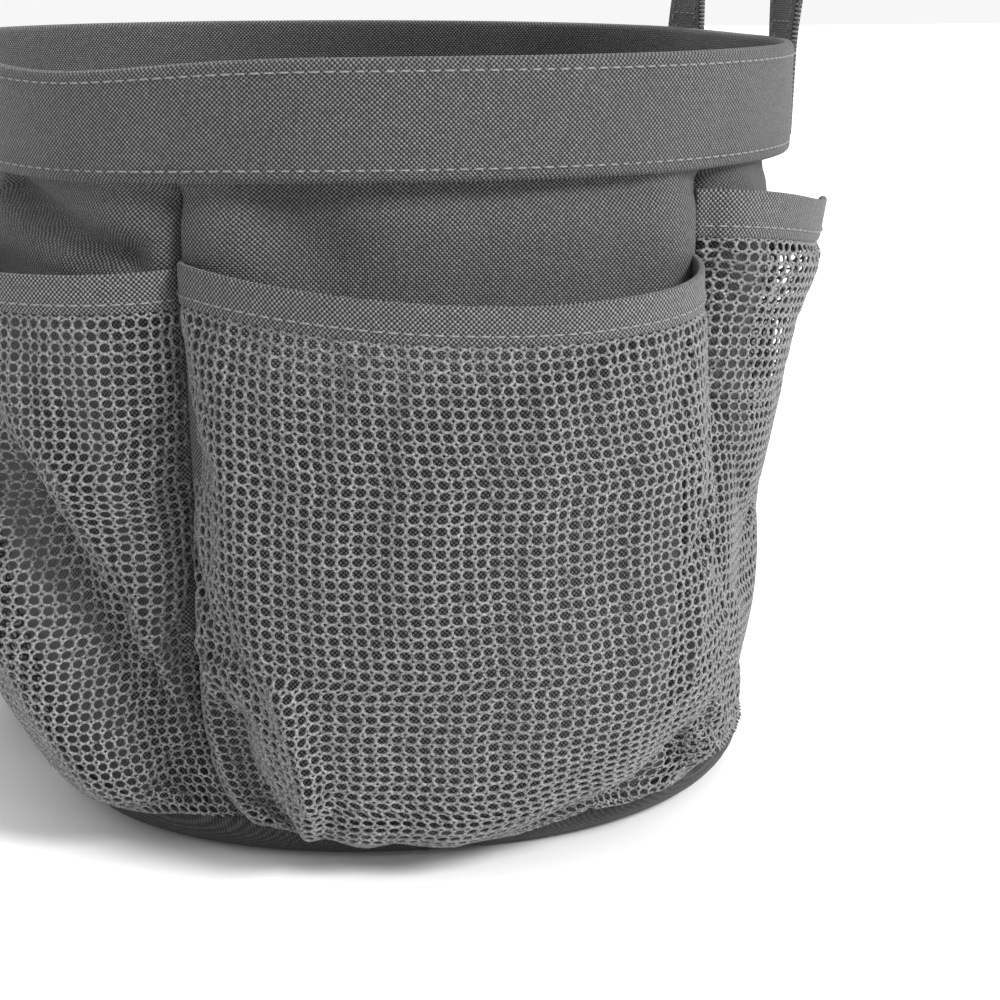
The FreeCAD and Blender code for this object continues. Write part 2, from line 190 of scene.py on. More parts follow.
def on_tub(distance, z, out):
    """Points at stations and heights, standing out from the tub's outside."""
    distance, z, out = np.broadcast_arrays(distance, z, out)
    around = distance % PERIMETER
    angle = np.interp(around, STOPS, ANGLE_AT)
    reach = radius_at(z) + out - drawn_in(around, z)
    x = np.interp(around, STOPS, CORE_X_AT) + reach * np.cos(angle)
    y = np.interp(around, STOPS, CORE_Y_AT) + reach * np.sin(angle)
    slump = RIM_SLUMP * bump(around, PERIMETER - RIM_SLUMP_AT, RIM_SLUMP_WIDTH)
    slump = slump * np.clip(z / RIM_Z, 0, 1) ** 6
    return np.stack([x, y, z - slump], axis=-1)


def smooth(value):
    """Smooth step of a value from 0 to 1."""
    value = np.clip(value, 0, 1)
    return value * value * (3 - 2 * value)


def bump(value, centre, width):
    """Round hump of height 1."""
    return np.exp(-(((value - centre) / width) ** 2))


def ridge(place, z, start, end, width, height):
    """Soft fold on a sheet, along the line between two spots (millimetres along the sheet, and up)."""
    run = np.subtract(end, start)
    length = math.hypot(*run)
    along = ((place - start[0]) * run[0] + (z - start[1]) * run[1]) / length
    across = ((z - start[1]) * run[0] - (place - start[0]) * run[1]) / length
    fade = smooth(along / (2 * width) + 0.5) * smooth((length - along) / (2 * width) + 0.5)
    return height * np.exp(-((across / width) ** 2)) * fade


def from_seam(distance):
    """Distance to the nearest corner seam."""
    gaps = np.abs((np.expand_dims(distance, -1) - SEAMS + PERIMETER / 2) % PERIMETER - PERIMETER / 2)
    return gaps.min(axis=-1)


# Meshes


def normals_of(grid, closed=False):
    """Unit normals of a grid of points, pointing out where its rows run up and its columns anticlockwise."""
    if closed:
        along = np.roll(grid, -1, axis=0) - np.roll(grid, 1, axis=0)
    else:
        along = np.gradient(grid, axis=0)
    normal = np.cross(along, np.gradient(grid, axis=1))
    return normal / np.maximum(np.linalg.norm(normal, axis=-1, keepdims=True), 1e-9)


def grid_faces(columns, rows, closed=False):
    """Quads of a grid, numbered column by column."""
    last = columns if closed else columns - 1
    i, j = np.meshgrid(np.arange(last), np.arange(rows - 1), indexing="ij")
    here = (i * rows + j).ravel()
    beside = ((i + 1) % columns * rows + j).ravel()
    return np.stack([here, beside, beside + 1, here + 1], axis=1)


def edges_of(faces):
    """Directed edges of faces."""
    return np.stack([faces, np.roll(faces, -1, axis=1)], axis=-1).reshape(-1, 2)


def thickened(points, normals, half, faces):
    """Closed shell round a sheet: both sides, and a rim along every open edge."""
    count = len(points)
    half = np.broadcast_to(half, (count,))[:, None]
    shell = np.concatenate([points + normals * half, points - normals * half])
    edges = np.concatenate([edges_of(f) for f in faces])
    keys = edges[:, 0] * count + edges[:, 1]
    twins = edges[:, 1] * count + edges[:, 0]
    open_edges = edges[~np.isin(keys, twins)]
    a, b = open_edges[:, 0], open_edges[:, 1]
    rims = np.stack([b, a, a + count, b + count], axis=1)
    return shell, [*faces, *[f[:, ::-1] + count for f in faces], rims]


def add_mesh(name, points, faces, material, uv=None, wrap=0.0):
    """Smooth mesh object from millimetre points, with a cloth UV map in millimetres."""
    mesh = bpy.data.meshes.new(name)
    mesh.from_pydata((points * MM).tolist(), [], [f for group in faces for f in group.tolist()])
    mesh.polygons.foreach_set("use_smooth", [True] * len(mesh.polygons))
    if uv is not None:
        corners = np.empty(len(mesh.loops), dtype=np.int64)
        mesh.loops.foreach_get("vertex_index", corners)
        spread = uv[corners]
        if wrap:
            first = spread[:, 0].reshape(-1, 4)
            first[(first < wrap / 4) & (first.max(axis=1, keepdims=True) > wrap * 3 / 4)] += wrap
        mesh.uv_layers.new(name="cloth").data.foreach_set("uv", spread.ravel())
    mesh.materials.append(material)
    mesh.update()
    item = bpy.data.objects.new(name, mesh)
    bpy.context.collection.objects.link(item)
    return item


def sheet_mesh(name, grid, thick, material, closed=False, uv_turn=False):
    """Closed cloth shell on a grid. Thick may vary from row to row."""
    columns, rows = grid.shape[:2]
    along = np.linalg.norm(np.diff(grid[:, rows // 2], axis=0), axis=1)
    across = np.linalg.norm(np.diff(grid[columns // 2], axis=0), axis=1)
    u = np.concatenate([[0], np.cumsum(along)])
    v = np.concatenate([[0], np.cumsum(across)])
    wrap = u[-1] + np.linalg.norm(grid[0, rows // 2] - grid[-1, rows // 2]) if closed else 0.0
    if closed:
        whole = 2 * THREAD_PITCH * round(wrap / (2 * THREAD_PITCH))
        u, wrap = u * whole / wrap, whole
    uv = np.stack(np.meshgrid(u, v, indexing="ij"), axis=-1).reshape(-1, 2)
    if uv_turn:
        uv = uv[:, ::-1]
    half = np.broadcast_to(np.asarray(thick) / 2, (columns, rows)).ravel()
    points, faces = thickened(grid.reshape(-1, 3), normals_of(grid, closed).reshape(-1, 3), half,
                              [grid_faces(columns, rows, closed)])
    return add_mesh(name, points, faces, material, np.concatenate([uv, uv]), wrap)


def rounded(width, thick, middle_steps):
    """Places across a strip and its thickness there, so that its edges are round."""
    edge = np.array([0.0, 0.07, 0.25, 0.5]) * thick
    middle = np.linspace(edge[-1], width - edge[-1], middle_steps + 1)[1:-1]
    place = np.concatenate([edge, middle, width - edge[::-1]])
    inset = np.clip(1 - np.minimum(place, width - place) / edge[-1], 0, 1)
    return place, thick * np.maximum(np.sqrt(1 - inset ** 2), 0.12)


def sample(grid, u, v):
    """Smooth points of a grid at fractional columns and rows."""
    columns, rows = grid.shape[:2]

    def weights(value, count):
        low = np.clip(np.floor(value).astype(int), 0, count - 2)
        t = (value - low)[:, None]
        parts = np.concatenate([-t ** 3 + 2 * t ** 2 - t, 3 * t ** 3 - 5 * t ** 2 + 2,
                                -3 * t ** 3 + 4 * t ** 2 + t, t ** 3 - t ** 2], axis=1) / 2
        places = np.clip(low[:, None] + np.arange(-1, 3), 0, count - 1)
        return places, parts

    iu, wu = weights(u, columns)
    iv, wv = weights(v, rows)
    return np.einsum("nabc,na,nb->nc", grid[iu[:, :, None], iv[:, None, :]], wu, wv)


def knitted(name, grid, columns, rows, last_row, material):
    """Knitted mesh over a grid of points up to a row: round holes, and a small gap between each four."""
    i, j = np.meshgrid(np.arange(columns), np.arange(rows), indexing="ij")
    turn = np.radians(22.5 + 45 * np.arange(8))
    hole_u = i[..., None] + 0.5 + HOLE_SHARE * np.cos(turn)
    hole_v = j[..., None] + 0.5 + HOLE_SHARE * np.sin(turn)
    ci, cj = np.meshgrid(np.arange(1, columns), np.arange(1, rows), indexing="ij")
    quarter = np.radians(90 * np.arange(4))
    gap_u = ci[..., None] + GAP_SHARE * np.cos(quarter)
    gap_v = cj[..., None] + GAP_SHARE * np.sin(quarter)
    hole = np.arange(hole_u.size).reshape(hole_u.shape)
    east, north, west, south = np.moveaxis(hole_u.size + np.arange(gap_u.size).reshape(gap_u.shape), -1, 0)
    a, b, c, d = hole[:-1, :-1], hole[1:, :-1], hole[:-1, 1:], hole[1:, 1:]
    quads = [
        (hole[:-1, :, 7], hole[1:, :, 4], hole[1:, :, 3], hole[:-1, :, 0]),
        (hole[:, :-1, 1], hole[:, 1:, 6], hole[:, 1:, 5], hole[:, :-1, 2]),
        (b[..., 3], b[..., 2], east, south), (d[..., 5], d[..., 4], north, east),
        (c[..., 7], c[..., 6], west, north), (a[..., 1], a[..., 0], south, west),
    ]
    triangles = [(b[..., 2], d[..., 5], east), (d[..., 4], c[..., 7], north),
                 (c[..., 6], a[..., 1], west), (a[..., 0], b[..., 3], south)]
    faces = []
    for group in (quads, triangles):
        faces.append(np.concatenate([np.stack([part.ravel() for part in face], axis=1) for face in group]))
    u = np.concatenate([hole_u.ravel(), gap_u.ravel()]) / columns * (grid.shape[0] - 1)
    v = np.concatenate([hole_v.ravel(), gap_v.ravel()]) / rows * last_row
    points = sample(grid, u, v)
    normals = sample(normals_of(grid), u, v)
    points, faces = thickened(points, normals, MESH_THICK / 2, faces)
    return add_mesh(name, points, faces, material)


def path_length(points):
    """Length of a line of points."""
    return np.linalg.norm(np.diff(points, axis=0), axis=1).sum()


def evenly(points, count, *others):
    """Points spaced evenly along a line, and other values carried along with them."""
    run = np.concatenate([[0], np.cumsum(np.linalg.norm(np.diff(points, axis=0), axis=1))])
    places = np.linspace(0, run[-1], count)
    found = []
    for values in (points, *others):
        found.append(np.stack([np.interp(places, run, values[:, k]) for k in range(values.shape[1])], axis=1))
    return found[0] if not others else found


def stitching(name, rows, material):
    """Thread seen on the cloth: one bowed stitch after another along each (line, normals)."""
    axis = np.array([-0.5, -0.42, -0.2, 0.2, 0.42, 0.5]) * STITCH_LENGTH
    swell = np.array([0.05, 0.75, 1, 1, 0.75, 0.05]) * STITCH_RADIUS
    lift = np.array([-0.25, -0.1, 0.06, 0.06, -0.1, -0.25])
    turn = np.linspace(0, 2 * np.pi, 6, endpoint=False)
    points = []
    faces = []
    count = 0
    for line, normals in rows:
        steps = max(int(path_length(line) // STITCH_PITCH), 2)
        spots, outs = evenly(line, 2 * steps + 1, normals)
        for k in range(1, 2 * steps, 2):
            ahead = spots[k + 1] - spots[k - 1]
            ahead /= np.linalg.norm(ahead)
            side = np.cross(outs[k], ahead)
            side /= np.linalg.norm(side)
            out = np.cross(ahead, side)
            tube = spots[k] + axis[:, None, None] * ahead + lift[:, None, None] * out
            tube = tube + swell[:, None, None] * (np.cos(turn)[:, None] * side + np.sin(turn)[:, None] * out)
            points.append(tube.reshape(-1, 3))
            base = grid_ring(len(axis), len(turn))
            faces.append(base + count)
            count += tube.shape[0] * tube.shape[1]
    return add_mesh(name, np.concatenate(points), [np.concatenate(faces)], material)


def grid_ring(rings, around):
    """Quads of a tube of rings."""
    i, j = np.meshgrid(np.arange(rings - 1), np.arange(around), indexing="ij")
    here = (i * around + j).ravel()
    beside = (i * around + (j + 1) % around).ravel()
    return np.stack([here, beside, beside + around, here + around], axis=1)


def finish_piece(item, slot, body, *nodes):
    """Puts a piece on its body, in place of CAD nodes. The slot is not used."""
    if body:
        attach(item, body)
    if nodes:
        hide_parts(*nodes)
    return item


# Materials


class Shader:
    """One procedural material: its nodes and its surface shader."""

    def __init__(self, name):
        self.material = bpy.data.materials.new(name)
        self.material.use_nodes = True
        self.tree = self.material.node_tree
        self.surface = self.tree.nodes["Principled BSDF"]

    def node(self, kind, **settings):
        """New node with its settings."""
        made = self.tree.nodes.new(kind)
        for key, value in settings.items():
            setattr(made, key, value)
        return made

    def link(self, source, target):
        """Joins an output to an input."""
        self.tree.links.new(source, target)

    def math(self, operation, a, b=0.0, clamp=False):
        """Result of a sum on two sockets or numbers."""
        made = self.node("ShaderNodeMath", operation=operation, use_clamp=clamp)
        for socket, value in zip(made.inputs, (a, b)):
            if isinstance(value, (int, float)):
                socket.default_value = value
            else:
                self.link(value, socket)
        return made.outputs[0]

    def noise(self, scale, detail=2.0, roughness=0.5, stretch=(1, 1, 1)):
        """Noise from 0 to 1, scaled per metre."""
        place = self.node("ShaderNodeTexCoord")
        turn = self.node("ShaderNodeMapping")
        turn.inputs["Scale"].default_value = stretch
        self.link(place.outputs["Object"], turn.inputs["Vector"])
        made = self.node("ShaderNodeTexNoise")
        made.inputs["Scale"].default_value = scale
        made.inputs["Detail"].default_value = detail
        made.inputs["Roughness"].default_value = roughness
        self.link(turn.outputs["Vector"], made.inputs["Vector"])
        return made.outputs["Fac"]

    def contrast(self, share, gain):
        """A share spread away from its middle."""
        spread = self.math("MULTIPLY", self.math("SUBTRACT", share, 0.5), gain)
        return self.math("ADD", spread, 0.5, clamp=True)

    def cloth_place(self):
        """Millimetres along and across the cloth."""
        place = self.node("ShaderNodeUVMap", uv_map="cloth")
        split = self.node("ShaderNodeSeparateXYZ")
        self.link(place.outputs["UV"], split.inputs["Vector"])
        return split.outputs["X"], split.outputs["Y"]

    def colour(self, share, dark, light):
        """Colour between dark and light."""
        ramp = self.node("ShaderNodeValToRGB")
        ramp.color_ramp.elements[0].color = (*dark, 1)
        ramp.color_ramp.elements[1].color = (*light, 1)
        self.link(share, ramp.inputs["Fac"])
        return ramp.outputs["Color"]

    def shaded(self, colour, share, darkest):
        """Colour times a share from darkest to 1."""
        span = self.node("ShaderNodeMapRange")
        span.inputs["To Min"].default_value = darkest
        self.link(share, span.inputs["Value"])
        mix = self.node("ShaderNodeVectorMath", operation="SCALE")
        self.link(colour, mix.inputs[0])
        self.link(span.outputs["Result"], mix.inputs["Scale"])
        return mix.outputs["Vector"]

    def relief(self, *layers):
        """Bump from (height, depth in millimetres) layers."""
        normal = None
        for height, depth in layers:
            made = self.node("ShaderNodeBump")
            made.inputs["Distance"].default_value = depth * MM
            self.link(height, made.inputs["Height"])
            if normal is not None:
                self.link(normal, made.inputs["Normal"])
            normal = made.outputs["Normal"]
        self.link(normal, self.surface.inputs["Normal"])

    def finish(self, colour, roughness, sheen=0.0, metallic=0.0, specular=0.3):
        """Sets the surface shader, and gives the material."""
        self.link(colour, self.surface.inputs["Base Color"])
        self.surface.inputs["Roughness"].default_value = roughness
        self.surface.inputs["Sheen Weight"].default_value = sheen
        self.surface.inputs["Metallic"].default_value = metallic
        self.surface.inputs["Specular IOR Level"].default_value = specular
        return self.material


def grey(value, tint=1.0):
    """Neutral grey with a slight tint to its blue."""
    return (value, value, value * tint)


def oxford(name, dark, light, depth=0.16, gloss=0.35):
    """Plain-woven Oxford: threads over and under, uneven threads, and soft patches. The light dots where
    threads cross over are partly the weave's own pattern and partly painted highlight for the sparkle of the
    thread tops.
    """
    made = Shader(name)
    u, v = made.cloth_place()
    wobble = made.math("MULTIPLY", made.math("SUBTRACT", made.noise(220, 1), 0.5), 0.5)
    warp = made.math("SINE", made.math("MULTIPLY", made.math("ADD", u, wobble), math.pi / THREAD_PITCH))
    weft = made.math("SINE", made.math("MULTIPLY", made.math("ADD", v, wobble), math.pi / THREAD_PITCH))
    over = made.math("MULTIPLY", warp, weft)
    # Light crossings of the weave in strong contrast: partly the weave's own pattern, partly painted
    # highlight for the threads' sparkle
    share = made.math("ADD", made.math("MULTIPLY", over, 1.1), 0.3, clamp=True)
    colour = made.colour(share, dark, light)
    colour = made.shaded(colour, made.contrast(made.noise(900, 3, 0.7), 2.6), 0.45)
    colour = made.shaded(colour, made.contrast(made.noise(16, 3), 1.8), 0.72)
    made.relief((made.noise(60, 2), 0.25), (made.math("ABSOLUTE", over), depth), (made.noise(2600, 2), 0.05))
    return made.finish(colour, 0.66, sheen=0.3 * gloss, specular=gloss)


def yarn(name, dark, light):
    """Knitted mesh yarn: fine filaments looped round each hole."""
    made = Shader(name)
    fine = made.noise(1500, 3, 0.75)
    colour = made.colour(made.contrast(fine, 3.2), dark, light)
    colour = made.shaded(colour, made.contrast(made.noise(380, 2), 2.0), 0.62)
    colour = made.shaded(colour, made.contrast(made.noise(20, 2), 1.6), 0.78)
    made.relief((fine, 0.22), (made.noise(5200, 1), 0.04))
    return made.finish(colour, 0.62, sheen=0.15, specular=0.4)


def ribbed(name, dark, light, pitch):
    """Narrow-woven tape or webbing, ribbed along its length."""
    made = Shader(name)
    u, v = made.cloth_place()
    across = made.math("ABSOLUTE", made.math("SINE", made.math("MULTIPLY", v, math.pi / pitch)))
    along = made.math("ABSOLUTE", made.math("SINE", made.math("MULTIPLY", u, math.pi / pitch / 0.6)))
    height = made.math("ADD", across, made.math("MULTIPLY", along, 0.5))
    colour = made.colour(made.math("MULTIPLY", height, 0.66, clamp=True), dark, light)
    colour = made.shaded(colour, made.noise(1800, 2), 0.75)
    made.relief((height, 0.2))
    return made.finish(colour, 0.7, sheen=0.1)


def thread_material(name, dark, light):
    """Twisted polyester thread."""
    made = Shader(name)
    twist = made.noise(2400, 1, stretch=(1, 1, 1.6))
    made.relief((twist, 0.08))
    return made.finish(made.colour(twist, dark, light), 0.5, sheen=0.1, specular=0.5)


def metal(name, dark, light, roughness):
    """Plated or plain metal with faint handling marks."""
    made = Shader(name)
    marks = made.noise(320, 4, 0.65)
    made.relief((made.noise(900, 3), 0.015))
    return made.finish(made.colour(marks, dark, light), roughness, metallic=1.0, specular=0.5)


BODY_CLOTH = oxford("oxford_body", grey(0.004), grey(0.25, 1.01))
# Base cloth darker than the walls' cloth: part of this darkness is painted shade for the shadow under the
# pockets' overhang
BASE_CLOTH = oxford("oxford_base", grey(0.035), grey(0.095, 1.02), depth=0.04, gloss=0.12)
BAND_CLOTH = oxford("oxford_band", grey(0.005), grey(0.34, 1.01))
STRAP_CLOTH = oxford("oxford_strap", grey(0.004), grey(0.28, 1.01))
MESH_YARN = yarn("mesh_yarn", grey(0.025), grey(0.38, 1.01))
TAPE = ribbed("binding_tape", grey(0.05), grey(0.16), 0.7)
WEBBING = ribbed("webbing", grey(0.03), grey(0.13), 1.1)
THREAD = thread_material("sewing_thread", grey(0.06), grey(0.28))
PLATED = metal("nickel_plate", (0.50, 0.50, 0.52), (0.66, 0.66, 0.67), 0.2)
STEEL = metal("plain_steel", (0.38, 0.38, 0.40), (0.52, 0.52, 0.53), 0.34)


# Camera, light and floor


def make_camera():
    """Camera in front of the right end, a little to its left."""
    back = Vector((math.sin(VIEW_AZIMUTH) * math.cos(VIEW_ELEVATION),
                   -math.cos(VIEW_AZIMUTH) * math.cos(VIEW_ELEVATION), math.sin(VIEW_ELEVATION)))
    data = bpy.data.cameras.new("camera")
    data.lens = LENS
    data.shift_x, data.shift_y = SHIFT
    camera = bpy.data.objects.new("camera", data)
    target = Vector((CORE_X + SEAM_RADIUS, 0, VIEW_HEIGHT)) * MM
    camera.location = target + back * VIEW_DISTANCE * MM
    camera.rotation_euler = (-back).to_track_quat("-Z", "Y").to_euler()
    bpy.context.collection.objects.link(camera)
    bpy.context.scene.camera = camera


def add_light(name, place, size, power):
    """Square soft light aimed at the middle of the bag."""
    data = bpy.data.lights.new(name, "AREA")
    data.size = size
    data.energy = power
    light = bpy.data.objects.new(name, data)
    light.location = place
    light.rotation_euler = (Vector((0, 0, 0.1)) - Vector(place)).to_track_quat("-Z", "Y").to_euler()
    bpy.context.collection.objects.link(light)


def make_studio():
    """Pale floor, white surroundings, a soft sun and a soft light from behind."""
    made = Shader("floor")
    made.relief((made.noise(40, 2), 0.05))
    material = made.finish(made.colour(made.noise(3, 2), (0.90, 0.90, 0.90), (0.93, 0.93, 0.93)), 0.9)
    reach = 6000.0  # far enough for the floor to fill the frame
    corners = np.array([(-reach, -reach, 0), (reach, -reach, 0), (reach, reach, 0), (-reach, reach, 0)])
    add_mesh("floor", corners, [np.array([[0, 1, 2, 3]])], material)
    world = bpy.data.worlds.new("studio")
    world.use_nodes = True
    world.node_tree.nodes["Background"].inputs["Color"].default_value = (1, 1, 1, 1)
    world.node_tree.nodes["Background"].inputs["Strength"].default_value = 0.93
    bpy.context.scene.world = world
    bpy.context.scene.view_settings.view_transform = "Standard"
    sun = bpy.data.lights.new("key", "SUN")
    sun.energy = 3.8
    sun.angle = math.radians(22)
    key = bpy.data.objects.new("key", sun)
    key.rotation_euler = Vector((0.80, 0.66, 0.72)).to_track_quat("Z", "Y").to_euler()
    bpy.context.collection.objects.link(key)
    add_light("back", (-0.8, 0.1, 1.2), 0.9, 6)


# Walls, base and hem


def wall_relief(distance, z):
    """How far the wall stands out of the tub's plain shape."""
    seam = from_seam(distance)
    height = (z - SEAM_Z) / (HEM_Z - SEAM_Z)
    loose = smooth((RIM_Z - z) / 40)
    valley = -SEAM_VALLEY * np.exp(-seam / 6.0) - SEAM_CREASE * np.exp(-seam / 1.2)
    valley = valley * smooth((HEM_Z + 4 - z) / 10)
    tuck = -HEM_TUCK * bump(z, HEM_Z - 2, 5)
    puff = WALL_PUFF * bump(seam, 16, 12) * loose * smooth(height * 3)
    slack = -WALL_SLACK * smooth(seam / 60) * bump(z, 150, 45) * loose
    ripple = WALL_RIPPLE * np.sin(distance / 17.0) * np.sin(z / 23.0 + distance / 41.0) * loose
    right = distance - (PERIMETER - END_HALF)  # from the right front seam
    folds = ridge(right, z, (-66, 168), (-8, 152), 4, -5.5)
    folds = folds + ridge(right, z, (-72, 158), (-26, 147), 8, 4.5)
    folds = folds + ridge(right, z, (22, 170), (40, 150), 11, -5.0)
    folds = folds + ridge(right, z, (-46, 114), (-18, 66), 9, -6.0)
    folds = folds + ridge(right, z, (-19, 68), (-5, 20), 7, -5.0)
    return valley + tuck + puff + slack + ripple + folds * loose


def make_walls():
    """Four wall panels that dip into the corner seams."""
    heights = np.linspace(SEAM_Z - 0.5, RIM_Z - 8, 64)
    stops = [("right_end", -END_HALF, END_HALF), ("back", END_HALF, SEAMS[1]),
             ("left_end", SEAMS[1], SEAMS[2]), ("front", SEAMS[2], SEAMS[3])]
    panels = []
    for name, first, last in stops:
        share = 0.5 - 0.5 * np.cos(np.linspace(0, np.pi, int((last - first) / GRID_STEP * 1.6) + 1))
        spread, up = np.meshgrid(first + share * (last - first), heights, indexing="ij")
        grid = on_tub(spread, up, wall_relief(spread % PERIMETER, up) - CLOTH / 2)
        panel = sheet_mesh("wall_%s_cloth" % name, grid, CLOTH, BODY_CLOTH)
        finish_piece(panel, "oxford_body", "root", "wall_%s" % name)
        panels.append((panel, (last - first) * MM, (heights[-1] - heights[0]) * MM))
    return panels


def make_base():
    """Dished base: flat under the bag, rolled up at its edge to the base seam."""
    stations = np.linspace(0, PERIMETER, 240, endpoint=False)
    rim_inset = BASE_ROLL * (1 - np.sin(np.linspace(0, np.pi / 2, 9)))
    rim_z = (SEAM_Z - 0.5) * (1 - np.cos(np.linspace(0, np.pi / 2, 9)))
    columns = []
    flat = np.linspace(0.0, 1.0, 26)[1:-1]
    edge = on_tub(stations, np.full_like(stations, SEAM_Z), -CLOTH / 2 - BASE_ROLL)
    for share in flat:
        ring = edge * share
        ring[:, 2] = CLOTH / 2 + 0.5 * (1 - share) * np.sin(ring[:, 0] / 19) ** 2
        columns.append(ring)
    for inset, z in zip(rim_inset, rim_z):
        ring = on_tub(stations, np.full_like(stations, SEAM_Z), -CLOTH / 2 - inset)
        ring[:, 2] = CLOTH / 2 + z * (1 - CLOTH / 2 / SEAM_Z)
        columns.append(ring)
    grid = np.stack(columns, axis=1)
    count = len(stations)
    rows = grid.shape[1]
    points, faces = thickened(grid.reshape(-1, 3), normals_of(grid, True).reshape(-1, 3), CLOTH / 2,
                              [grid_faces(count, rows, True)])
    uv = points[:, :2].copy()
    base = add_mesh("base_cloth", points, faces, BASE_CLOTH, uv)
    ring_start = np.arange(count) * rows
    close_hole(base, ring_start[::-1])
    close_hole(base, ring_start + count * rows)
    finish_piece(base, "oxford_base", "root", "base_panel")


def close_hole(item, ring):
    """Fan of triangles over a ring of vertices."""
    mesh = item.data
    work = bmesh.new()
    work.from_mesh(mesh)
    work.verts.ensure_lookup_table()
    corners = [work.verts[int(k)] for k in ring]
    centre = sum((v.co for v in corners), Vector()) / len(corners)
    layer = work.loops.layers.uv["cloth"]
    middle = work.verts.new(centre)
    for k, corner in enumerate(corners):
        face = work.faces.new((corner, corners[(k + 1) % len(corners)], middle))
        face.smooth = True
        for loop in face.loops:
            loop[layer].uv = (loop.vert.co.x / MM, loop.vert.co.y / MM)
    work.to_mesh(mesh)
    work.free()


def make_hem():
    """Folded hem round the mouth, with a line of stitches near each edge."""
    stations = np.linspace(0, PERIMETER, int(PERIMETER / GRID_STEP), endpoint=False)
    place, thick = rounded(RIM_Z - HEM_Z, HEM_THICK, 8)
    spread, up = np.meshgrid(stations, HEM_Z + place, indexing="ij")
    ripple = 0.25 * np.sin(spread / 9.0) * np.sin(spread / 31.0 + up / 9.0)
    dip = 0.5 * np.exp(-from_seam(spread) / 5) + ripple
    grid = on_tub(spread, up, -CLOTH / 2 + HEM_OUT - dip)
    hem = sheet_mesh("hem_cloth", grid, np.broadcast_to(thick, grid.shape[:2]), BODY_CLOTH, closed=True)
    finish_piece(hem, "oxford_body", "root", "top_hem")
    rows = []
    ring = np.linspace(0, PERIMETER, 480)
    stitch_out = 1.7
    for z in (HEM_Z + 3.0, RIM_Z - 3.2):
        line = on_tub(ring, np.full_like(ring, z), stitch_out)
        rows.append((line, on_tub(ring, np.full_like(ring, z), stitch_out + 1) - line))
    thread = finish_piece(stitching("hem_stitching", rows, THREAD), "oxford_body", "root")
    return hem, thread


def make_tapes():
    """Bindings on the seam allowances inside the bag."""
    stations = np.linspace(0, PERIMETER, int(PERIMETER / GRID_STEP), endpoint=False)
    place, thick = rounded(BINDING_WIDTH, 1.6, 4)
    spread, up = np.meshgrid(stations, SEAM_Z + place, indexing="ij")
    grid = on_tub(spread, up, -CLOTH - 1.1 + 0.2 * np.sin(spread / 5.0) + wall_relief(spread, up))
    tape = sheet_mesh("base_seam_binding", grid, np.broadcast_to(thick, grid.shape[:2]), TAPE, closed=True)
    finish_piece(tape, "binding_tape", "root", "base_seam_tape")
    for seam, corner in zip(SEAMS, ("right_back", "left_back", "left_front", "right_front")):
        low, high = box_mm("seam_tape_%s" % corner)
        heights = np.linspace(low[2], high[2], 40)
        place, thick = rounded(BINDING_WIDTH, 2.2, 4)
        up, depth = np.meshgrid(heights, place, indexing="ij")
        lean = 0.8 * np.sin(up / 16.0) * depth / BINDING_WIDTH
        grid = on_tub(seam + lean, up, -CLOTH - 0.4 - depth + wall_relief(seam, up))
        binding = sheet_mesh("seam_binding_%s" % corner, grid, np.broadcast_to(thick, grid.shape[:2]), TAPE)
        finish_piece(binding, "binding_tape", "root", "seam_tape_%s" % corner)


# Pockets


def pocket_shapes():
    """Name, stations, depth and character of each pocket, anticlockwise."""
    side = dict(depth=15.0, low=1.0, mouth=0.85, peak=0.5, square=0.55, lip=0.65,
                sag=1.5, lift=0.0, gathers=0.9, droop=1.5, folds="plain")
    end = dict(side, depth=END_DEPTH, mouth=0.84, square=0.46, lip=0.85, sag=7.5, gathers=1.6, droop=6.5)
    shapes = {"right_end": dict(end, peak=0.57, lift=2.0, folds="full"),
              "left_end": dict(end, peak=0.47)}
    for number in range(1, POCKETS_PER_SIDE + 1):
        shapes["back_%d" % number] = dict(side, peak=0.42 + 0.06 * number)
        shapes["front_%d" % number] = dict(side, peak=0.56 - 0.05 * number)
    shapes["back_3"].update(low=0.0, mouth=0.78, square=0.4, lip=0.4,
                            sag=0.0, lift=9.0, folds="boxy")
    shapes["front_3"].update(depth=19.0, peak=0.42, square=0.5, folds="slumped")
    place = END_HALF
    order = [("right_end", -END_HALF, END_HALF)]
    for number in range(POCKETS_PER_SIDE, 0, -1):
        order.append(("back_%d" % number, place, place + SIDE_POCKET))
        place += SIDE_POCKET
    order.append(("left_end", place, place + 2 * END_HALF))
    place += 2 * END_HALF
    for number in range(1, POCKETS_PER_SIDE + 1):
        order.append(("front_%d" % number, place, place + SIDE_POCKET))
        place += SIDE_POCKET
    return [(name, first, last, shapes[name]) for name, first, last in order]


def seam_lean(z):
    """How far the foot of the right front seam is dragged towards the end pocket."""
    return FOOT_LEAN * np.exp(-(z - SEAM_Z) / 16)


def seam_swing(z):
    """How far the right back seam swings: in at the pocket's mouth and out where the pocket is full."""
    return SEAM_SWING_OUT * bump(z, 52, 34) - SEAM_SWING_IN * smooth((z - 90) / 60)


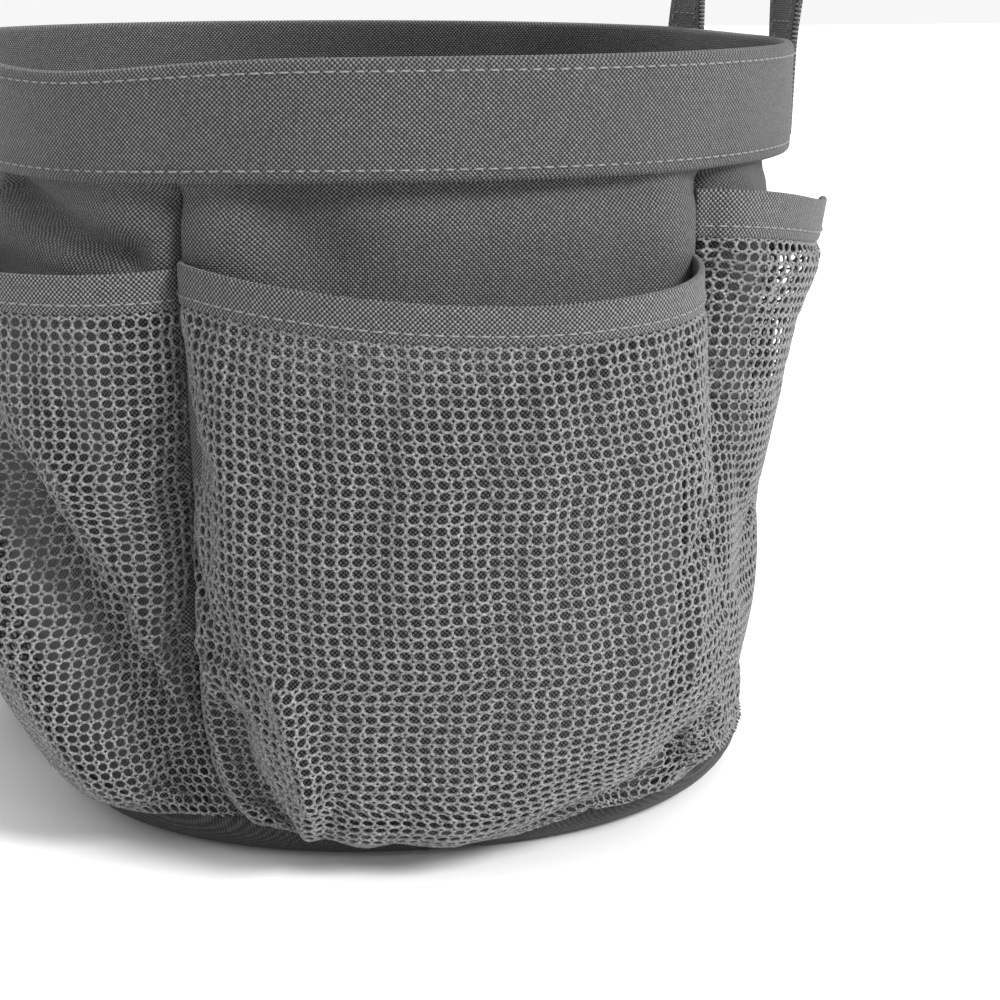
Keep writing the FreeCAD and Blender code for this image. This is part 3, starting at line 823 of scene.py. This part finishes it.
def pocket_folds(kind, share, width, z):
    """Folds that one pocket has and the others don't, placed from its first seam."""
    place = share * width
    if kind == "full":
        pleat = ridge(place, z, (29, 56), (34, 30), 3.4, 6.0)
        pleat = pleat + ridge(place, z, (34, 32), (26, 10), 3.4, 5.5)
        pleat = pleat - ridge(place, z, (14, 48), (19, 14), 7, 9.0)
        hollow = -8.0 * bump(place, width - 24, 8) * bump(z, 28, 8)
        tuft = 7.0 * bump(place, width - 8, 6) * bump(z, 27, 9)
        crumple = 2.4 * np.sin(place / 1.9 + z / 2.6) * bump(place, width - 12, 9) * bump(z, 27, 9)
        foot = -8.0 * bump(place, width - 44, 22) * bump(z, 17, 8)
        return pleat + hollow + tuft + crumple + foot
    if kind == "slumped":
        fold = ridge(place, z, (30, 130), (66, 66), 7, -7.5)
        fold = fold + ridge(place, z, (44, 102), (66, 66), 6.5, -10.0)
        fold = fold + ridge(place, z, (65, 68), (80, 18), 5, -18.0)
        swell = ridge(place, z, (22, 106), (50, 58), 8, 6.0)
        swell = swell + ridge(place, z, (50, 60), (68, 18), 8, 7.0)
        flat = -9.0 * bump(place, 8, 24) * bump(z, 22, 20)
        return fold + swell + flat
    return 0.0 * z


def pocket_surface(name, first, last, shape, share, z):
    """Points of a pocket's sheet at shares of its width and heights before it sags."""
    width = last - first
    across = share ** (math.log(0.5) / math.log(shape["peak"]))
    arch = np.clip(4 * across * (1 - across), 0, 1)
    up = np.clip((z - SEAM_Z) / (POCKET_TOP - SEAM_Z), 0, 1)
    bow = arch ** (shape["square"] + (shape["lip"] - shape["square"]) * up ** 1.5)
    rise = np.clip((z - SEAM_Z) / FULL_ABOVE, 0, 1)
    swell = np.clip((up - 0.42) / 0.58, 0, 1) if shape["folds"] == "boxy" else up
    full = np.sqrt(np.sin(rise * np.pi / 2)) * (shape["low"] + (shape["mouth"] - shape["low"]) * swell)
    rim = np.minimum(share, 1 - share) * width
    out = shape["depth"] * bow * full * (1 - np.exp(-rim / 4))
    inside = np.clip(share * (1 - share) * 12, 0, 1)
    phase = sum(ord(letter) for letter in name)
    gather = np.sin(share * width / 4.6 + phase) + 0.6 * np.sin(share * width / 2.9 + 2 * phase)
    gather = shape["gathers"] * gather * inside * np.exp(-(z - SEAM_Z) / 16)
    out = out + gather * smooth((z - SEAM_Z) / 4)
    wave = np.sin(share * width / 13.0 + z / 37.0 + phase) * np.sin(z / 19.0 + phase)
    out = out + MESH_RIPPLE * wave * inside * smooth((POCKET_TOP - 4 - z) / 20)
    out = out + pocket_folds(shape["folds"], share, width, z) * inside * smooth((z - SEAM_Z) / 6)
    station = first + share * width
    before = 1 - smooth(share * 2.5)
    after = smooth(share * 2.5 - 1.5)
    if name == "right_end":
        station = station + seam_lean(z) * before + seam_swing(z) * after
    if name == "front_3":
        station = station + seam_lean(z) * after
    if name == "back_3":
        station = station + seam_swing(z) * before
    seat = wall_relief(station % PERIMETER, z)
    edge = np.exp(-rim / 3)
    least = seat + MESH_GAP - EDGE_SINK * edge
    stand = np.maximum(out, 0) + MESH_STAND + (np.minimum(seat, 0) - EDGE_BURY) * edge
    points = on_tub(station, z, np.maximum(stand, least))
    held = shape["lift"] * smooth((1 - share) * 3) - shape["sag"] * arch
    if shape["folds"] == "boxy":
        held = held + BOXY_LIFT * (1 - smooth(share * 1.6))
    droop = shape["droop"] * bow * bump(z, 24, 12)
    if shape["folds"] == "full":
        droop = droop * (1 - smooth((share - 0.5) * 4))
    points[..., 2] += held * up ** 2 - droop
    return points, least - drawn_in(station % PERIMETER, z)


def even_grid(pocket):
    """Pocket's points spaced evenly along the cloth, the least they stand out, and the rows' heights."""
    z = np.linspace(SEAM_Z - 0.5, POCKET_TOP, 400)
    line, _ = pocket_surface(*pocket, np.full_like(z, 0.5), z)
    heights = evenly(line, int(path_length(line) / GRID_STEP) + 1, z[:, None])[1][:, 0]
    share = 0.5 - 0.5 * np.cos(np.linspace(0, np.pi, 400))
    middle, _ = pocket_surface(*pocket, share, np.full_like(share, POCKET_TOP / 2))
    count = int(path_length(middle) / GRID_STEP) + 1
    rows = []
    for height in heights:
        line, least = pocket_surface(*pocket, share, np.full_like(share, height))
        spots, least = evenly(line, count, least[:, None])
        rows.append(np.concatenate([spots, least], axis=1))
    grid = np.stack(rows, axis=1)
    return grid[..., :3], grid[..., 3], heights


def settled(name, grid, held):
    """Grid of points as slack cloth, after it has settled under its weight. Held points stay."""
    columns, rows = grid.shape[:2]
    mesh = bpy.data.meshes.new(name)
    mesh.from_pydata((grid.reshape(-1, 3) * MM).tolist(), [], grid_faces(columns, rows).tolist())
    item = bpy.data.objects.new(name, mesh)
    bpy.context.collection.objects.link(item)
    pins = item.vertex_groups.new(name="held")
    pins.add([int(k) for k in np.flatnonzero(held)], 1.0, "REPLACE")
    cloth = item.modifiers.new("slack", "CLOTH").settings
    cloth.vertex_group_mass = "held"
    cloth.quality = 6
    cloth.mass = 0.02
    cloth.air_damping = 2.0
    cloth.tension_stiffness = 12.0
    cloth.compression_stiffness = 12.0
    cloth.shear_stiffness = 4.0
    cloth.bending_stiffness = 0.05
    cloth.shrink_min = -SLACK
    cloth.use_pressure = True
    cloth.uniform_pressure_force = 0.12
    scene = bpy.context.scene
    for step in range(1, SETTLING_FRAMES + 1):
        scene.frame_set(step)
    depsgraph = bpy.context.evaluated_depsgraph_get()
    spots = np.empty(grid.size)
    item.evaluated_get(depsgraph).data.vertices.foreach_get("co", spots)
    scene.frame_set(1)
    bpy.data.objects.remove(item)
    bpy.data.meshes.remove(mesh)
    return spots.reshape(grid.shape) / MM


def clear_of_wall(grid, least):
    """Points pushed out so that they stand out at least so far from the tub's plain shape."""
    core = np.stack([np.clip(grid[..., 0], -CORE_X, CORE_X), np.clip(grid[..., 1], -CORE_Y, CORE_Y)], axis=-1)
    reach = grid[..., :2] - core
    length = np.linalg.norm(reach, axis=-1)
    push = np.maximum(radius_at(grid[..., 2]) + least - length, 0)
    cleared = grid.copy()
    cleared[..., :2] += reach / length[..., None] * push[..., None]
    return cleared


def slackened(pocket):
    """Grid of a pocket with the wrinkles its slack cloth settles into, and its rows' heights."""
    plain, least, heights = even_grid(pocket)
    held = np.zeros(plain.shape[:2], dtype=bool)
    held[[0, -1]] = True
    held[:, 0] = True
    held[:, heights > BAND_Z - 1] = True
    moved = settled("slack_%s" % pocket[0], plain, held.ravel()) - plain
    far = np.linalg.norm(moved, axis=-1, keepdims=True)
    moved *= SLACK_REACH * np.tanh(far / SLACK_REACH) / np.maximum(far, 1e-9)
    return clear_of_wall(plain + moved, least), heights


def make_pocket(pocket):
    """Knitted mesh of one pocket, its folded band and the band's stitches."""
    name = pocket[0]
    grid, heights = slackened(pocket)
    steps = np.arange(len(heights))
    last_row = np.interp(BAND_Z + BAND_LAP, heights, steps)
    knit = grid[:, :int(last_row) + 1]
    rows = int(round(np.mean([path_length(line) for line in knit]) / MESH_ROW))
    columns = int(round(np.mean([path_length(line) for line in knit.swapaxes(0, 1)]) / MESH_COLUMN))
    mesh = knitted("mesh_%s" % name, grid, columns, rows, last_row, MESH_YARN)
    finish_piece(mesh, "pocket_mesh", "root", "pocket_mesh_%s" % name)

    place, thick = rounded(POCKET_TOP - BAND_Z, BAND_THICK, 5)
    u, v = np.meshgrid(np.linspace(0, len(grid) - 1, columns * 2),
                       np.interp(BAND_Z + place, heights, steps), indexing="ij")
    band_grid = sample(grid, u.ravel(), v.ravel()).reshape(*u.shape, 3)
    band = sheet_mesh("band_%s" % name, band_grid, np.broadcast_to(thick, band_grid.shape[:2]),
                      BAND_CLOTH)
    finish_piece(band, "oxford_band", "root", "pocket_band_%s" % name)
    stitch_row = int(np.argmin(np.abs(place - STITCH_INSET)))
    outs = normals_of(band_grid)[:, stitch_row]
    line = band_grid[:, stitch_row] + outs * 1.0
    thread = stitching("band_stitching_%s" % name, [(line[1:-1], outs[1:-1])], THREAD)
    finish_piece(thread, "oxford_band", "root")


# Handles and hook


def handle_grid(side, high, half_reach, place):
    """Strap from one sewn end over the arch to the other: columns along it, rows across it."""
    bend_z = high[2] - half_reach
    leg = half_reach - STRAP_WIDTH / 2
    steps = 40
    straight = np.linspace(STRAP_FOOT, bend_z, steps)
    turn = np.linspace(np.pi, 0, 49)[1:-1]
    x = np.concatenate([np.full(steps, -leg), leg * np.cos(turn), np.full(steps, leg)])
    z = np.concatenate([straight, bend_z + leg * np.sin(turn), straight[::-1]])
    way_x = np.concatenate([np.full(steps, -1.0), np.cos(turn), np.full(steps, 1.0)])
    way_z = np.concatenate([np.zeros(steps), np.sin(turn), np.zeros(steps)])
    across = STRAP_WIDTH / 2 - place
    px = x[:, None] + way_x[:, None] * across
    pz = z[:, None] + way_z[:, None] * across
    reach = radius_at(np.minimum(pz, RIM_Z)) + HEM_CLOTH + STRAP_THICK / 2 + 0.2
    hem_y = CORE_Y + np.sqrt(reach ** 2 - np.clip(np.abs(px) - CORE_X, 0, None) ** 2)
    free_low, free_high = box_mm("handle_back_loop")
    free_y = (free_low[1] + free_high[1]) / 2
    y = hem_y + (free_y - hem_y) * smooth((pz - RIM_Z + 4) / 26)
    grid = np.stack([px, side * y, pz], axis=-1)
    return grid if side < 0 else grid[::-1]


def make_handle(name, side):
    """Folded Oxford strap, sewn to the hem with a crossed box at each end."""
    high = box_mm("handle_%s_loop" % name)[1]
    place, thick = rounded(STRAP_WIDTH, STRAP_THICK, 8)
    grid = handle_grid(side, high, high[0], place)
    strap = sheet_mesh("handle_%s_strap" % name, grid, np.broadcast_to(thick, grid.shape[:2]), STRAP_CLOTH,
                       uv_turn=True)
    finish_piece(strap, "oxford_strap", None, "handle_%s_loop" % name, "handle_%s_sewn_ends" % name)
    outs = normals_of(grid)
    rows = []
    for inset in (STITCH_INSET, STRAP_WIDTH - STITCH_INSET):
        row = int(np.argmin(np.abs(place - inset)))
        for face in (1, -1):
            line = grid[1:-1, row] + face * outs[1:-1, row] * STRAP_STITCH_LIFT
            rows.append((line, face * outs[1:-1, row]))
    for end in (0, -1):
        rows += box_stitch(grid, outs, place, end)
    thread = finish_piece(stitching("handle_%s_stitching" % name, rows, THREAD), "oxford_strap", None)
    for item in (strap, thread):
        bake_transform(item)


def box_stitch(grid, outs, place, end):
    """Two cross lines and a crossing pair of stitch rows on one sewn end."""
    columns = np.arange(2, 15)
    if end == -1:
        columns = len(grid) - 1 - columns
    first = int(np.argmin(np.abs(place - STITCH_INSET)))
    last = int(np.argmin(np.abs(place - STRAP_WIDTH + STITCH_INSET)))
    rows = []
    for column in (columns[0], columns[-1]):
        span = slice(first, last + 1)
        rows.append((grid[column, span] + outs[column, span] * STRAP_STITCH_LIFT, outs[column, span]))
    for start, stop in ((first, last), (last, first)):
        picks = np.linspace(start, stop, len(columns)).round().astype(int)
        rows.append((grid[columns, picks] + outs[columns, picks] * STRAP_STITCH_LIFT, outs[columns, picks]))
    return rows


def make_webbing():
    """Webbing folded round the eye's bar, with its doubled tail sewn on the hem."""
    joint = [j for j in frame["joints"] if j["name"] == "hook_eye_swing"][0]
    pivot = np.array(joint["pos_m"]) / MM
    sideways = np.array(joint["axis"], float)
    outward = np.cross(UP, sideways) * -1
    half = 5.0
    thick = 1.1
    wrap = 1.5 + 0.1 + thick / 2
    top = box_mm("hook_webbing_loop")[1][2] - pivot[2]
    tail = HEM_CLOTH + radius_at(RIM_Z - 15) - np.hypot(pivot[0] + CORE_X, pivot[1] - CORE_Y) + 0.4
    turn = np.linspace(np.pi, 2 * np.pi, 17)
    inner = [(tail + 0.9, top - 0.4), (tail + 0.3, 20.0), (tail, 11.0), (-wrap + 0.4, 5.0), (-wrap, 2.5)]
    outer = [(wrap, 2.5), (wrap - 0.2, 5.0), (tail + 1.3, 11.0), (tail + 1.6, 20.0), (tail + 2.1, top - 0.4)]
    path = np.array(inner + [(wrap * math.cos(t), wrap * math.sin(t)) for t in turn] + outer)
    path = evenly(path, 90)
    place, width_thick = rounded(2 * half, thick, 4)
    y, x = np.meshgrid(path[:, 0], place - half, indexing="ij")
    z = np.broadcast_to(path[:, 1][:, None], y.shape)
    grid = pivot + x[..., None] * sideways + y[..., None] * outward + z[..., None] * UP
    loop = sheet_mesh("hook_loop_webbing", grid, np.broadcast_to(width_thick, grid.shape[:2]), WEBBING)
    finish_piece(loop, "webbing", "root", "hook_webbing_loop")
    rows = []
    for z_line in (13.0, 26.0):  # above the pivot
        y_line = np.interp(z_line, [11.0, 20.0, top - 0.4], [tail + 1.3, tail + 1.6, tail + 2.1])
        y_line = y_line + thick / 2 + 0.1
        spots = np.linspace(-half + 1, half - 1, 9)
        line = pivot + spots[:, None] * sideways + y_line * outward + z_line * UP
        rows.append((line, np.broadcast_to(outward, line.shape)))
    finish_piece(stitching("hook_loop_stitching", rows, THREAD), "webbing", "root")


def finish_hook():
    """Metal finishes of the hook's own pieces."""
    finishes = {"hook_swivel_eye": PLATED, "hook_body": PLATED, "hook_gate": PLATED,
                "hook_gate_rivet": STEEL, "hook_gate_spring": STEEL}
    for node, material in finishes.items():
        item = frame["nodes"][node]
        item.data.materials.clear()
        item.data.materials.append(material)


make_camera()
make_studio()
wall_panels = make_walls()
make_base()
hem_cloth, hem_thread = make_hem()
make_tapes()
for each_pocket in pocket_shapes():
    make_pocket(each_pocket)
make_handle("front", -1)
make_handle("back", 1)
make_webbing()
finish_hook()
